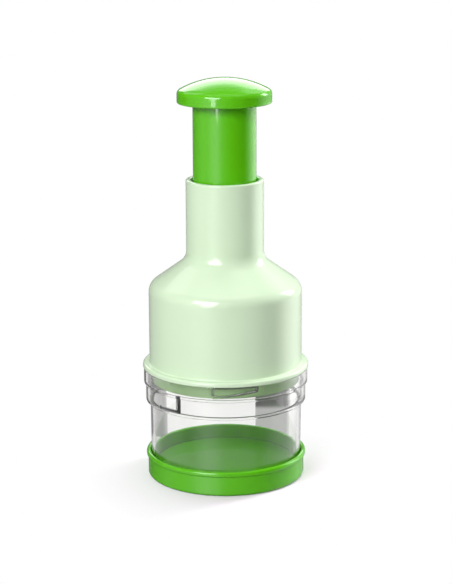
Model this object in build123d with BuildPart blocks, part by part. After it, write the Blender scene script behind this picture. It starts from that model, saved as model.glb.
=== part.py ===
from build123d import *

import os
from math import atan2, cos, degrees, radians, sin, sqrt, tan

# Plunger food chopper. Millimetres and degrees, Z up from the foot of the tray, front towards -Y.
# Angles round the axis are counted from the front towards the right-hand side.

# ---- Driving sizes ----
stroke = 48.5  # travel of the knob from rest to full press
cup_r = 42.65  # clear cup, outside, at its foot
shaft_r = 17.68  # plunger shaft, outside
threefold = 3  # lugs, ribs, arms, slots and screws repeat this many times

# Tray
tray_gap = 0.35  # cup to tray wall
tray_wall = 1.6
tray_h = 14.3
tray_floor_z = 6.5  # top of the floor, where the cup stands
tray_floor = 2.2
foot_ring = 2.6
foot_round = 1.8
bead_out = 0.95
bead_h = 2.7

# Cup
cup_wall = 1.8
cup_draft = 0.3
low_tier_out = 2.45
high_tier_out = 1.1
low_tier_h = 10.5
high_tier_h = 8.9
step_floor = 1.2
rim_over_edge = 8.2  # cup rim above the resting edge of the blade
lug_start, lug_ramp, lug_end = -11.0, 0.0, 24.0
lug_top_drop = 1.4
lug_low_drop, lug_high_drop = 5.6, 3.4
lug_round = 1.4
rib_start, rib_end = -59.0, -37.0
rib_w = 2.0
rib_ledge = 1.3
rib_out = 1.2

# Bell housing
flange_h = 2.6
flange_out = 0.5
bell_set_in = 3.8
bell_wall = 2.2
shoulder_h = 15.3
shoulder_round = 7.4
neck_round = 9.0
neck_out = 4.12
neck_wall = 2.8
neck_cover = 3.4  # neck above the tops of the shaft's slots
skirt_gap = 2.9  # skirt to the cup's upper tier
skirt_wall = 2.0
skirt_drop = 7.6
bayonet_gap = 0.3
ledge_gap = 0.2
ledge_h = 1.5
stop_w = 5.0

# Wiper and its snap ring
wiper_rib_drop = 3.6
wiper_rib_h = 1.5
wiper_rib_in = 1.8
wiper_h = 1.9
wiper_side_gap = 0.5
wiper_play = 0.1
slot_gap = 0.3
ring_h = 1.0
ring_in = 2.4
ring_bite = 0.55
ring_mouth = 9.0

# Blade and its carrier
blade_floor_gap = 0.4
blade_t = 0.7
blade_side_gap = 5.3
fold_pitch = 12.0
fold_round = 2.5
edge_h = 2.0
edge_t = 0.15
carrier_gap = 0.3
carrier_side_gap = 3.8
carrier_h = 2.0
groove_h = 1.0
hub_h = 1.9
thrust_h = 1.2
thrust_out = 0.5
thrust_in = 0.8
hub_out = 0.6
end_turn = 14.0  # of the blade's ends, behind the middle
rest_gap = 0.3

# Spring bridge, ratchet and springs
arm_w = 6.0
arm_h = 4.3
bridge_ring_gap = 3.32
bridge_ring_w = 7.0
bridge_ring_h = 2.8
bridge_gap = 0.67
arm_gap = 0.3
slot_play = 0.5
hole_gap = 0.6
hub_gap = 2.8
hub_rise = 3.1
pocket_wall = 3.4
pocket_floor = 2.5
tooth_rise = 1.0
tooth_gap = 0.15
tooth_lash = 0.6  # turn between the square faces of the meshed teeth
nut_h = 3.1
nut_gap = 0.2
bow_spring_t = 0.4
seat_h = 1.0
seat_collar_h = 2.0
seat_collar_wall = 1.1
seat_collar_gap = 0.2
spring_play = 0.05
wire = 1.8
coils = 9
wire_sides = 6
coil_gap = 2.3

# Shaft and knob
tube_wall = 2.28
web_h = 3.0
bush_h = 12.0
bush_run = 0.08
knob_hollow = 6.5
press_gap = 0.6
seat_play = 0.1  # between pieces that one face already seats
knob_gap = 0.5
knob_side = 4.06
knob_h = 13.85
knob_round = 3.0
knob_lip = 0.6
crown_r = 52.0
crown_t = 2.4
collar_h = 9.9
collar_wall = 2.8

# Spindle
square = 8.0
square_round = 0.5
bore_gap = 0.15
index_angle = 36.0  # turn of the blade over one stroke, one tooth of the ratchet
tail_square = 6.0
journal_r = 4.0
journal_run = 0.06
twist_over = 2.0  # twisted length kept above the nut at full press
spindle_bore = 7.5
washer_h = 0.9
washer_out = 1.2
clip_h = 0.7
clip_out = 1.0
clip_depth = 0.6
clip_play = 0.05
spindle_end = 1.4  # journal above the clip

# Small screws
screw_r = 1.2
head_r = 2.2
head_h = 1.4
pilot_gap = 0.05
screw_gap = 0.3  # round a screw where it passes through freely
boss_wall = 1.4

# ---- Heights worked out from the sizes above ----
edge_z = tray_floor_z + blade_floor_gap + stroke
rim_z = edge_z + rim_over_edge
high_step_z = rim_z - high_tier_h
low_step_z = high_step_z - low_tier_h
flange_z = rim_z + flange_h
skirt_z = rim_z - skirt_drop
wiper_rib_z = rim_z - wiper_rib_drop
wiper_top = wiper_rib_z - wiper_play
wiper_z = wiper_top - wiper_h
carrier_z = wiper_top + carrier_gap + stroke
hub_z = carrier_z + carrier_h
hub_top = hub_z + hub_h
tube_z = hub_top + thrust_h
arm_z = tube_z + rest_gap
bridge_top = arm_z + arm_h
slot_top = bridge_top + stroke + slot_play
neck_top = slot_top + neck_cover
knob_z = neck_top + stroke - knob_hollow + press_gap
hollow_z = knob_z + knob_hollow
web_z = hollow_z - collar_h - web_h
knob_top = knob_z + knob_h
hub_rim_z = bridge_top + hub_rise
seat_z = hub_rim_z + seat_h

# ---- Radii worked out from the sizes above ----
tray_in_r = cup_r + tray_gap
tray_r = tray_in_r + tray_wall
waist_r = cup_r + cup_draft
low_tier_r = waist_r + low_tier_out
high_tier_r = low_tier_r + high_tier_out
high_tier_in_r = high_tier_r - cup_wall
flange_r = high_tier_r + flange_out
bell_r = flange_r - bell_set_in
bell_in_r = bell_r - bell_wall
skirt_r = high_tier_in_r - skirt_gap
skirt_in_r = skirt_r - skirt_wall
neck_r = shaft_r + neck_out
neck_in_r = neck_r - neck_wall
tube_in_r = shaft_r - tube_wall
hub_r = tube_in_r - hub_gap
pocket_r = hub_r - pocket_wall
spindle_hole_r = square / sqrt(2) + hole_gap
ring_inner_r = shaft_r + bridge_ring_gap
ring_outer_r = ring_inner_r + bridge_ring_w
bridge_screw_r = (ring_inner_r + ring_outer_r) / 2
coil_r = tube_in_r - coil_gap - wire / 2
knob_hollow_r = neck_r + knob_gap
knob_r = knob_hollow_r + knob_side
carrier_r = skirt_in_r - carrier_side_gap
blade_reach = skirt_in_r - blade_side_gap
collar_in_r = tube_in_r - collar_wall
knob_screw_r = (journal_r + coil_r) / 2
carrier_screw_r = hub_r * 0.75

# The shoulder slopes from the bell to the neck and clears the bridge's ring below it.
shoulder_slope = shoulder_h / (bell_r - neck_r)
shoulder_drop = bell_wall * sqrt(1 + shoulder_slope**2)
shoulder_z = bridge_top + bridge_gap + shoulder_drop - shoulder_slope * (bell_r - ring_outer_r)
neck_z = shoulder_z + shoulder_h

# Turn of the spindle's square with height, and the bar's upper end.
twist = -index_angle / stroke
twist_top = hub_rim_z + stroke + twist_over
teeth = round(360 / index_angle)


def corner(radius, height):
    """The corner of the open sketch nearest to this radius and height."""
    return vertices().sort_by_distance((radius, height, 0))[0]


def ring(outer, inner, low, height):
    """A plain flat ring round the axis."""
    with BuildPart() as made:
        with BuildSketch(Plane.XY.offset(low)):
            Circle(outer)
            Circle(inner, mode=Mode.SUBTRACT)
        extrude(amount=height)
    return made.part


def screw(shank, head, length, head_height):
    """A pan-head screw pointing up, with its head's bearing face at Z = 0 and a cross recess."""
    with BuildPart() as made:
        with BuildSketch(Plane.XZ):
            with BuildLine():
                Polyline(
                    (0, -head_height),
                    (head, -head_height),
                    (head, 0),
                    (shank, 0),
                    (shank, length - shank / 2),
                    (shank / 2, length),
                    (0, length),
                    close=True,
                )
            make_face()
            chamfer(corner(head, -head_height), head_height / 3)
        revolve(axis=Axis.Z)
        with BuildSketch(Plane.XY.offset(-head_height)):
            Rectangle(head, head / 4)
            Rectangle(head / 4, head)
        extrude(amount=head_height / 2, mode=Mode.SUBTRACT)
    return made.part


def raised_figure(outline, rounding, inner, outer):
    """A flat outline, seen square on from the front, standing on a round wall between two radii.

    Every point of the outline is a turn from the figure's middle and a height.
    """
    middle = (inner + outer) / 2
    points = [(middle * sin(radians(turn)), height) for turn, height in outline]
    with BuildPart() as made:
        with BuildSketch(Plane.XZ):
            with BuildLine():
                Polyline(*points, close=True)
            make_face()
            for index, radius in rounding.items():
                fillet(corner(*points[index]), radius)
        extrude(amount=outer)
        with BuildSketch():
            Circle(outer)
            Circle(inner, mode=Mode.SUBTRACT)
        extrude(amount=rim_z + 1, mode=Mode.INTERSECT)
    return made.part


def twisted_bar(across, low, high):
    """A square bar whose section turns steadily about Z with its height."""
    with BuildSketch(Plane.XY.offset(low).rotated((0, 0, twist * (low - hub_top)))) as section:
        RectangleRounded(across, across, square_round)
    rise = (0, 0, high - low)
    turn = twist * (high - low)
    return Solid.extrude_linear_with_rotation(section.sketch.face(), (0, 0, low), rise, turn)


def face_teeth(outer, inner, low):
    """One-way face teeth: each climbs over its share of the turn and drops back square."""
    half_share = 180 / teeth
    half_w = outer * sin(radians(half_share))
    ramp = Plane(origin=(0, -half_w, low), z_dir=(0, -tooth_rise, 2 * half_w))
    with BuildPart() as tooth:
        with BuildSketch(Plane.XY.offset(low - pocket_floor / 2)):
            with BuildLine():
                reach = outer * 2
                side = reach * tan(radians(half_share))
                Polyline((0, 0), (reach, -side), (reach, side), close=True)
            make_face()
            Circle(outer, mode=Mode.INTERSECT)
            Circle(inner, mode=Mode.SUBTRACT)
        extrude(amount=pocket_floor / 2 + tooth_rise)
        split(bisect_by=ramp, keep=Keep.BOTTOM)
    with BuildPart() as made:
        with PolarLocations(0, teeth):
            add(tooth.part)
    return made.part


# ---- Base tray: a shallow moulded dish on a foot ring, with a rolled bead round its rim ----
with BuildPart() as base_tray:
    with BuildSketch(Plane.XZ):
        with BuildLine():
            Polyline(
                (0, tray_floor_z),
                (tray_in_r, tray_floor_z),
                (tray_in_r, tray_h),
                (tray_r + bead_out, tray_h),
                (tray_r + bead_out, tray_h - bead_h),
                (tray_r, tray_h - bead_h),
                (tray_r, 0),
                (tray_r - foot_round - foot_ring, 0),
                (tray_r - foot_round - foot_ring, tray_floor_z - tray_floor),
                (0, tray_floor_z - tray_floor),
                close=True,
            )
        make_face()
        chamfer(corner(tray_in_r, tray_h), tray_wall * 0.4)
        fillet(corner(tray_r + bead_out, tray_h), bead_h * 0.45)
        chamfer(corner(tray_r + bead_out, tray_h - bead_h), bead_out / 2)
        fillet(corner(tray_r, 0), foot_round)
        chamfer(corner(tray_r - foot_round - foot_ring, tray_floor_z - tray_floor), tray_floor / 2)
    revolve(axis=Axis.Z)

# ---- Chopping cup: clear two-tier tube, open at both ends ----
lug_in_r = skirt_r + bayonet_gap
lug_half = (lug_end - lug_start) / 2
lug_turn = (lug_end + lug_start) / 2
cup_lug = raised_figure(
    [
        (-lug_half, rim_z - lug_top_drop),
        (-lug_half, rim_z - lug_low_drop),
        (lug_ramp - lug_turn, rim_z - lug_low_drop),
        (lug_half, rim_z - lug_high_drop),
        (lug_half, rim_z - lug_top_drop),
    ],
    {0: lug_round / 2, 1: lug_round},
    lug_in_r,
    high_tier_in_r + cup_wall / 4,
)
rib_half = (rib_end - rib_start) / 2
rib_bar = degrees(rib_w / low_tier_r)
rib_foot_z = low_step_z + step_floor
cup_rib = raised_figure(
    [
        (-rib_half, rib_foot_z - step_floor / 2),
        (rib_half, rib_foot_z - step_floor / 2),
        (rib_half, high_step_z),
        (rib_half - rib_bar, high_step_z),
        (rib_half - rib_bar, rib_foot_z + rib_ledge),
        (-rib_half, rib_foot_z + rib_ledge),
    ],
    {3: rib_w / 4, 5: rib_ledge / 3},
    low_tier_r - cup_wall - rib_out,
    low_tier_r - cup_wall / 2,
)
with BuildPart() as chopping_cup:
    with BuildSketch(Plane.XZ):
        with BuildLine():
            Polyline(
                (cup_r, tray_floor_z),
                (waist_r, low_step_z),
                (low_tier_r, low_step_z),
                (low_tier_r, high_step_z),
                (high_tier_r, high_step_z),
                (high_tier_r, rim_z),
                (high_tier_in_r, rim_z),
                (high_tier_in_r, high_step_z + step_floor),
                (low_tier_r - cup_wall, high_step_z + step_floor),
                (low_tier_r - cup_wall, low_step_z + step_floor),
                (waist_r - cup_wall, low_step_z + step_floor),
                (cup_r - cup_wall, tray_floor_z),
                close=True,
            )
        make_face()
        chamfer(corner(low_tier_r, low_step_z), cup_wall * 0.4)
        chamfer(corner(high_tier_r, high_step_z), cup_wall / 4)
        chamfer(corner(high_tier_r, rim_z), cup_wall / 4)
        chamfer(corner(high_tier_in_r, rim_z), cup_wall / 4)
        chamfer(corner(cup_r, tray_floor_z), cup_wall / 4)
    revolve(axis=Axis.Z)
    with PolarLocations(0, threefold, start_angle=lug_turn):
        add(cup_lug)
    with PolarLocations(0, threefold, start_angle=(rib_end + rib_start) / 2):
        add(cup_rib)

# ---- Bell housing: skirt, flange, bell, shoulder and neck in one moulding ----
# Each bayonet rib is a ledge that runs up under a cup lug and ends at a stop bar.
ledge_end = lug_end + degrees(bayonet_gap / skirt_r)
stop_end = ledge_end + stop_w
ledge_turn = (lug_start + stop_end) / 2
ledge_low = rim_z - lug_low_drop - ledge_gap
ledge_high = rim_z - lug_high_drop - ledge_gap
skirt_ledge = raised_figure(
    [
        (lug_start - ledge_turn, ledge_low - ledge_h),
        (stop_end - ledge_turn, ledge_high - ledge_h * 1.4),
        (stop_end - ledge_turn, rim_z),
        (ledge_end - ledge_turn, rim_z),
        (ledge_end - ledge_turn, ledge_high),
        (lug_ramp - ledge_turn, ledge_low),
        (lug_start - ledge_turn, ledge_low),
    ],
    {1: lug_round, 6: ledge_h / 3},
    skirt_r - skirt_wall / 4,
    high_tier_in_r - bayonet_gap,
)
screw_shoulder_z = shoulder_z + shoulder_slope * (bell_r - bridge_screw_r) - shoulder_drop
boss_r = screw_r + boss_wall
bush_z = neck_top - neck_cover - bush_h
neck_seat_r = shaft_r + (neck_in_r - shaft_r) / 2
groove_r = skirt_in_r + ring_bite
with BuildPart() as bell_housing:
    with BuildSketch(Plane.XZ):
        with BuildLine():
            Polyline(
                (skirt_in_r, skirt_z),
                (skirt_r, skirt_z),
                (skirt_r, rim_z),
                (flange_r, rim_z),
                (flange_r, flange_z),
                (bell_r, flange_z),
                (bell_r, shoulder_z),
                (neck_r, neck_z),
                (neck_r, neck_top),
                (neck_in_r, neck_top),
                (neck_in_r, bush_z),
                (neck_seat_r, bush_z),
                (neck_seat_r, neck_z + shoulder_slope * (neck_r - neck_seat_r) - shoulder_drop),
                (bell_in_r, shoulder_z + shoulder_slope * bell_wall - shoulder_drop),
                (bell_in_r, flange_z),
                (skirt_in_r, rim_z),
                (skirt_in_r, wiper_rib_z + wiper_rib_h),
                (skirt_in_r - wiper_rib_in, wiper_rib_z + wiper_rib_h),
                (skirt_in_r - wiper_rib_in, wiper_rib_z),
                (skirt_in_r, wiper_rib_z),
                close=True,
            )
        make_face()
        chamfer(corner(flange_r, rim_z), flange_h / 8)
        chamfer(corner(flange_r, flange_z), flange_h * 0.3)
        fillet(corner(bell_r, shoulder_z), shoulder_round)
        fillet(corner(neck_r, neck_z), neck_round)
        chamfer(corner(neck_r, neck_top), neck_wall / 5)
        chamfer(corner(neck_in_r, neck_top), neck_wall * 0.2)
        inner_shoulder_z = shoulder_z + shoulder_slope * bell_wall - shoulder_drop
        chamfer(corner(bell_in_r, inner_shoulder_z), (shoulder_round - bell_wall) / 2)
    revolve(axis=Axis.Z)
    with PolarLocations(0, threefold, start_angle=ledge_turn):
        add(skirt_ledge)
    with BuildSketch(Plane.XY.offset(bridge_top)):
        with PolarLocations(bridge_screw_r, threefold, start_angle=90):
            Circle(boss_r)
    extrude(amount=screw_shoulder_z - bridge_top + bell_wall / 5)
    with BuildSketch(Plane.XY.offset(bridge_top)):
        with PolarLocations(bridge_screw_r, threefold, start_angle=90):
            Circle(screw_r + pilot_gap)
    extrude(amount=screw_shoulder_z - bridge_top, mode=Mode.SUBTRACT)
    with BuildSketch(Plane.XY.offset(wiper_z - ring_h - 2 * wiper_play)):
        Circle(groove_r)
    extrude(amount=ring_h + 2 * wiper_play, mode=Mode.SUBTRACT)

# ---- Neck bush: plain bearing that guides the shaft ----
with BuildPart() as neck_bush:
    add(ring(neck_in_r, shaft_r + bush_run, bush_z, bush_h))
    chamfer(edges().filter_by(GeomType.CIRCLE).group_by(Axis.Z)[-1], neck_wall / 10)

# ---- Spring bridge: hub, three arms through the shaft's slots, and a ring screwed to the bosses ----
pocket_z = arm_z + pocket_floor
with BuildPart() as spring_bridge:
    with BuildSketch(Plane.XY.offset(arm_z)):
        Circle(hub_r)
    extrude(amount=hub_rim_z - arm_z)
    with BuildSketch(Plane.XY.offset(arm_z)):
        with PolarLocations((hub_r + ring_outer_r) / 2 - 1, threefold, start_angle=30):
            Rectangle(ring_outer_r - hub_r, arm_w)
    extrude(amount=arm_h)
    with BuildSketch(Plane.XY.offset(bridge_top - bridge_ring_h)):
        Circle(ring_outer_r)
        Circle(ring_inner_r, mode=Mode.SUBTRACT)
        with PolarLocations(bridge_screw_r, threefold, start_angle=90):
            Circle(screw_r + screw_gap, mode=Mode.SUBTRACT)
    extrude(amount=bridge_ring_h)
    with BuildSketch(Plane.XY.offset(pocket_z)):
        Circle(pocket_r)
    extrude(amount=hub_rim_z - pocket_z, mode=Mode.SUBTRACT)
    add(face_teeth(pocket_r, spindle_hole_r, pocket_z))
    with BuildSketch(Plane.XY.offset(arm_z)):
        Circle(spindle_hole_r)
    extrude(amount=hub_rim_z - arm_z, mode=Mode.SUBTRACT)

# ---- Bridge screws: from below through the ring into the shoulder's bosses ----
bridge_screw = screw(screw_r, head_r, bridge_ring_h + screw_shoulder_z - bridge_top - screw_gap, head_h)
with BuildPart() as bridge_screws:
    with Locations(Plane.XY.offset(bridge_top - bridge_ring_h)):
        with PolarLocations(bridge_screw_r, threefold, start_angle=90):
            add(bridge_screw)

# ---- Ratchet nut: face teeth below, and a bore twisted to match the spindle ----
nut_r = pocket_r - nut_gap
nut_top = pocket_z + nut_h + tooth_gap
with BuildPart() as ratchet_nut:
    with BuildSketch(Plane.XY.offset(pocket_z + tooth_gap)):
        Circle(nut_r)
    extrude(amount=nut_h)
    with Locations(Location((0, 0, tooth_gap), (0, 0, tooth_lash))):
        add(face_teeth(pocket_r, spindle_hole_r - 1, pocket_z), mode=Mode.SUBTRACT)
    add(twisted_bar(square + 2 * bore_gap, pocket_z - 1, nut_top + 1), mode=Mode.SUBTRACT)

# ---- Ratchet spring: a bowed washer that holds the nut in mesh ----
bow_h = hub_rim_z - nut_top - 2 * spring_play - bow_spring_t
bow_r = (nut_r**2 + bow_h**2) / (2 * bow_h)
with BuildPart() as ratchet_spring:
    with BuildSketch(Plane.XZ):
        with Locations((0, nut_top + spring_play + bow_h + bow_spring_t - bow_r)):
            Circle(bow_r)
            Circle(bow_r - bow_spring_t, mode=Mode.SUBTRACT)
    extrude(amount=nut_r, both=True)
    with BuildSketch(Plane.XY.offset(nut_top)):
        Circle(nut_r)
        Circle(spindle_hole_r + nut_gap, mode=Mode.SUBTRACT)
    extrude(amount=hub_rim_z - nut_top, mode=Mode.INTERSECT)

# ---- Spring seat: washer on the hub's rim, with a collar inside the spring ----
with BuildPart() as spring_seat:
    seat_collar_r = coil_r - wire / 2 - seat_collar_gap
    add(ring(coil_r + wire * 0.7, spindle_hole_r, hub_rim_z, seat_h))
    add(ring(seat_collar_r, seat_collar_r - seat_collar_wall, seat_z, seat_collar_h))

# ---- Return spring: round wire from the seat to the web inside the shaft ----
with BuildPart() as return_spring:
    rise = web_z - seat_z - wire
    with BuildLine():
        coil = Helix(rise / coils, rise, coil_r, center=(0, 0, seat_z + wire / 2))
    with BuildSketch(Plane(origin=coil @ 0, z_dir=coil % 0)):
        RegularPolygon(wire / 2, wire_sides)
    sweep(path=coil, is_frenet=True)

# ---- Plunger tube: the green shaft, slotted for the bridge's arms, with a web near its top ----
tube_top = hollow_z - seat_play
with BuildPart() as plunger_tube:
    add(ring(shaft_r, tube_in_r, tube_z, tube_top - tube_z))
    with BuildSketch(Plane.XY.offset(web_z)):
        Circle(tube_in_r + tube_wall / 2)
        Circle(journal_r + journal_run, mode=Mode.SUBTRACT)
        with PolarLocations(knob_screw_r, threefold, start_angle=90):
            Circle(screw_r + screw_gap, mode=Mode.SUBTRACT)
    extrude(amount=web_h)
    with BuildSketch(Plane.XY.offset(tube_z)):
        with PolarLocations((shaft_r + tube_in_r) / 2, threefold, start_angle=30):
            Rectangle(tube_wall * 2, arm_w + 2 * arm_gap)
    extrude(amount=slot_top - tube_z, mode=Mode.SUBTRACT)

# ---- Press knob: hollow crowned cap with a collar and screw bosses inside the shaft ----
def crown(height, radius):
    """Height of a crown's arc of this top height at a radius."""
    return height - crown_r + sqrt(crown_r**2 - radius**2)


web_top = web_z + web_h
with BuildPart() as press_knob:
    with BuildSketch(Plane.XZ):
        with BuildLine():
            Polyline((0, knob_top), (0, knob_z), (knob_r, knob_z), (knob_r, crown(knob_top, knob_r)))
            ThreePointArc(
                (knob_r, crown(knob_top, knob_r)),
                (knob_r / 2, crown(knob_top, knob_r / 2)),
                (0, knob_top),
            )
        make_face()
        fillet(corner(knob_r, crown(knob_top, knob_r)), knob_round)
        chamfer(corner(knob_r, knob_z), knob_lip)
    revolve(axis=Axis.Z)
    with BuildSketch(Plane.XY.offset(knob_z)):
        Circle(knob_hollow_r)
    extrude(amount=knob_hollow, mode=Mode.SUBTRACT)
    with BuildSketch(Plane.XZ):
        with BuildLine():
            Polyline(
                (0, knob_top - crown_t),
                (0, knob_z),
                (collar_in_r, knob_z),
                (collar_in_r, crown(knob_top - crown_t, collar_in_r)),
            )
            ThreePointArc(
                (collar_in_r, crown(knob_top - crown_t, collar_in_r)),
                (collar_in_r / 2, crown(knob_top - crown_t, collar_in_r / 2)),
                (0, knob_top - crown_t),
            )
        make_face()
    revolve(axis=Axis.Z, mode=Mode.SUBTRACT)
    add(ring(tube_in_r - seat_play, collar_in_r, web_top, collar_h + crown_t / 2))
    with BuildSketch(Plane.XY.offset(web_top)):
        with PolarLocations(knob_screw_r, threefold, start_angle=90):
            Circle(boss_r)
    extrude(amount=crown(knob_top, knob_screw_r) - crown_t / 2 - web_top)
    with BuildSketch(Plane.XY.offset(web_top)):
        with PolarLocations(knob_screw_r, threefold, start_angle=90):
            Circle(screw_r + pilot_gap)
    extrude(amount=collar_h, mode=Mode.SUBTRACT)

# ---- Knob screws: up through the web into the knob's bosses ----
knob_screw = screw(screw_r, head_r, web_h + collar_h * 0.7, head_h)
with BuildPart() as knob_screws:
    with Locations(Plane.XY.offset(web_z)):
        with PolarLocations(knob_screw_r, threefold, start_angle=90):
            add(knob_screw)

# ---- Spindle: square bar with a steady twist, a square tail below and a journal above ----
clip_z = web_top + washer_h + clip_play
clip_in_r = journal_r - clip_depth
spindle_top = clip_z + clip_h + spindle_end
tail_z = hub_z + seat_play
with BuildPart() as spindle:
    add(twisted_bar(square, hub_top, twist_top))
    with BuildSketch(Plane.XY.offset(tail_z)):
        RectangleRounded(tail_square, tail_square, square_round)
    extrude(amount=hub_top - tail_z)
    with BuildSketch(Plane.XY.offset(twist_top)):
        Circle(journal_r)
    extrude(amount=spindle_top - twist_top)
    chamfer(edges().group_by(Axis.Z)[-1], clip_depth)
    with BuildSketch(Plane.XY.offset(clip_z - clip_play / 2)):
        Circle(journal_r + clip_out)
        Circle(clip_in_r - clip_play, mode=Mode.SUBTRACT)
    extrude(amount=clip_h + clip_play, mode=Mode.SUBTRACT)
    with BuildSketch(Plane.XY.offset(tail_z)):
        Circle(screw_r + pilot_gap)
    extrude(amount=spindle_bore, mode=Mode.SUBTRACT)

# ---- Top washer and circlip of the spindle ----
with BuildPart() as spindle_washer:
    add(ring(journal_r + washer_out, journal_r + seat_play, web_top, washer_h))
with BuildPart() as spindle_circlip:
    with BuildSketch(Plane.XY.offset(clip_z)):
        Circle(journal_r + clip_out)
        Circle(clip_in_r, mode=Mode.SUBTRACT)
        with Locations((journal_r, 0)):
            Rectangle(journal_r, clip_in_r, mode=Mode.SUBTRACT)
    extrude(amount=clip_h)

# ---- Thrust washer, and the hub that turns the blade's carrier ----
with BuildPart() as thrust_washer:
    add(ring(shaft_r + thrust_out, tube_in_r - thrust_in, hub_top, thrust_h))
with BuildPart() as carrier_hub:
    with BuildSketch(Plane.XY.offset(hub_z)):
        Circle(shaft_r + hub_out)
        RectangleRounded(
            tail_square + 2 * pilot_gap,
            tail_square + 2 * pilot_gap,
            square_round,
            mode=Mode.SUBTRACT,
        )
        with PolarLocations(carrier_screw_r, threefold, start_angle=90):
            Circle(screw_r + screw_gap / 2, mode=Mode.SUBTRACT)
    extrude(amount=hub_h)
    chamfer(edges().filter_by(GeomType.CIRCLE).group_by(SortBy.RADIUS)[-1], hub_h / 6)


def zigzag(width):
    """The blade's folded line, drawn out to a width: five folds on one circle and two short ends."""
    folds = []
    for place in range(-2, 3):
        across = place * fold_pitch
        side = 1 if place % 2 else -1
        folds.append((across, side * sqrt(blade_reach**2 - across**2)))
    end = (blade_reach * cos(radians(end_turn)), blade_reach * sin(radians(end_turn)))
    with BuildSketch() as line:
        with BuildLine():
            FilletPolyline((-end[0], end[1]), *folds, end, radius=fold_round)
        trace(line_width=width)
    return line.sketch


# ---- Blade carrier: moulded plate, grooved below for the blade's back ----
with BuildPart() as blade_carrier:
    with BuildSketch(Plane.XY.offset(carrier_z)):
        Circle(carrier_r)
        Circle(head_r * 2, mode=Mode.SUBTRACT)
    extrude(amount=carrier_h)
    chamfer(edges().filter_by(GeomType.CIRCLE).group_by(SortBy.RADIUS)[-1], carrier_h / 5)
    with BuildSketch(Plane.XY.offset(carrier_z)):
        add(zigzag(blade_t + 2 * pilot_gap))
    extrude(amount=groove_h, mode=Mode.SUBTRACT)
    with BuildSketch(Plane.XY.offset(hub_z)):
        with PolarLocations(carrier_screw_r, threefold, start_angle=90):
            Circle(screw_r + pilot_gap)
    extrude(amount=-carrier_h * 0.85, mode=Mode.SUBTRACT)

# ---- Carrier screws from above, and the spindle screw from below ----
carrier_screw = screw(screw_r, head_r * 0.95, hub_h + carrier_h * 0.75, thrust_h - seat_play)
with BuildPart() as carrier_screws:
    with Locations(Location((0, 0, hub_top), (0, 180, 0))):
        with PolarLocations(carrier_screw_r, threefold, start_angle=90):
            add(carrier_screw)
spindle_screw_made = screw(screw_r, head_r * 1.9, spindle_bore - screw_r / 2, carrier_h * 0.9)
with BuildPart() as spindle_screw:
    with Locations(Plane.XY.offset(hub_z)):
        add(spindle_screw_made)

# ---- Zigzag blade: one folded strip, ground thin along its lower edge ----
with BuildPart() as zigzag_blade:
    with BuildSketch(Plane.XY.offset(edge_z + edge_h)):
        add(zigzag(blade_t))
    extrude(amount=carrier_z + groove_h - pilot_gap - edge_z - edge_h)
    with BuildSketch(Plane.XY.offset(edge_z + edge_h)):
        add(zigzag(blade_t))
    extrude(amount=-edge_h, taper=degrees(atan2((blade_t - edge_t) / 2, edge_h)))

# ---- Wiper plate: turns with the blade, which passes through its slot ----
with BuildPart() as wiper_plate:
    with BuildSketch(Plane.XY.offset(wiper_z)):
        Circle(skirt_in_r - wiper_side_gap)
        add(zigzag(blade_t + 2 * slot_gap), mode=Mode.SUBTRACT)
    extrude(amount=wiper_h)

# ---- Wiper ring: open snap ring in the skirt's groove ----
with BuildPart() as wiper_ring:
    with BuildSketch(Plane.XY.offset(wiper_z - ring_h - wiper_play)):
        Circle(groove_r - pilot_gap)
        Circle(skirt_in_r - ring_in, mode=Mode.SUBTRACT)
        with Locations((0, skirt_in_r)):
            Rectangle(ring_mouth, ring_mouth, mode=Mode.SUBTRACT)
    extrude(amount=ring_h)

pieces = {
    "base_tray": base_tray,
    "chopping_cup": chopping_cup,
    "bell_housing": bell_housing,
    "neck_bush": neck_bush,
    "spring_bridge": spring_bridge,
    "bridge_screws": bridge_screws,
    "ratchet_nut": ratchet_nut,
    "ratchet_spring": ratchet_spring,
    "spring_seat": spring_seat,
    "return_spring": return_spring,
    "plunger_tube": plunger_tube,
    "press_knob": press_knob,
    "knob_screws": knob_screws,
    "spindle": spindle,
    "spindle_washer": spindle_washer,
    "spindle_circlip": spindle_circlip,
    "thrust_washer": thrust_washer,
    "carrier_hub": carrier_hub,
    "blade_carrier": blade_carrier,
    "carrier_screws": carrier_screws,
    "spindle_screw": spindle_screw,
    "zigzag_blade": zigzag_blade,
    "wiper_plate": wiper_plate,
    "wiper_ring": wiper_ring,
}
os.makedirs("parts", exist_ok=True)
for name, piece in pieces.items():
    piece.part.label = name
    export_step(piece.part, f"parts/{name}.step")
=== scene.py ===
import bmesh
import bpy
import numpy as np
from mathutils import Euler, Matrix, Vector


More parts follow.
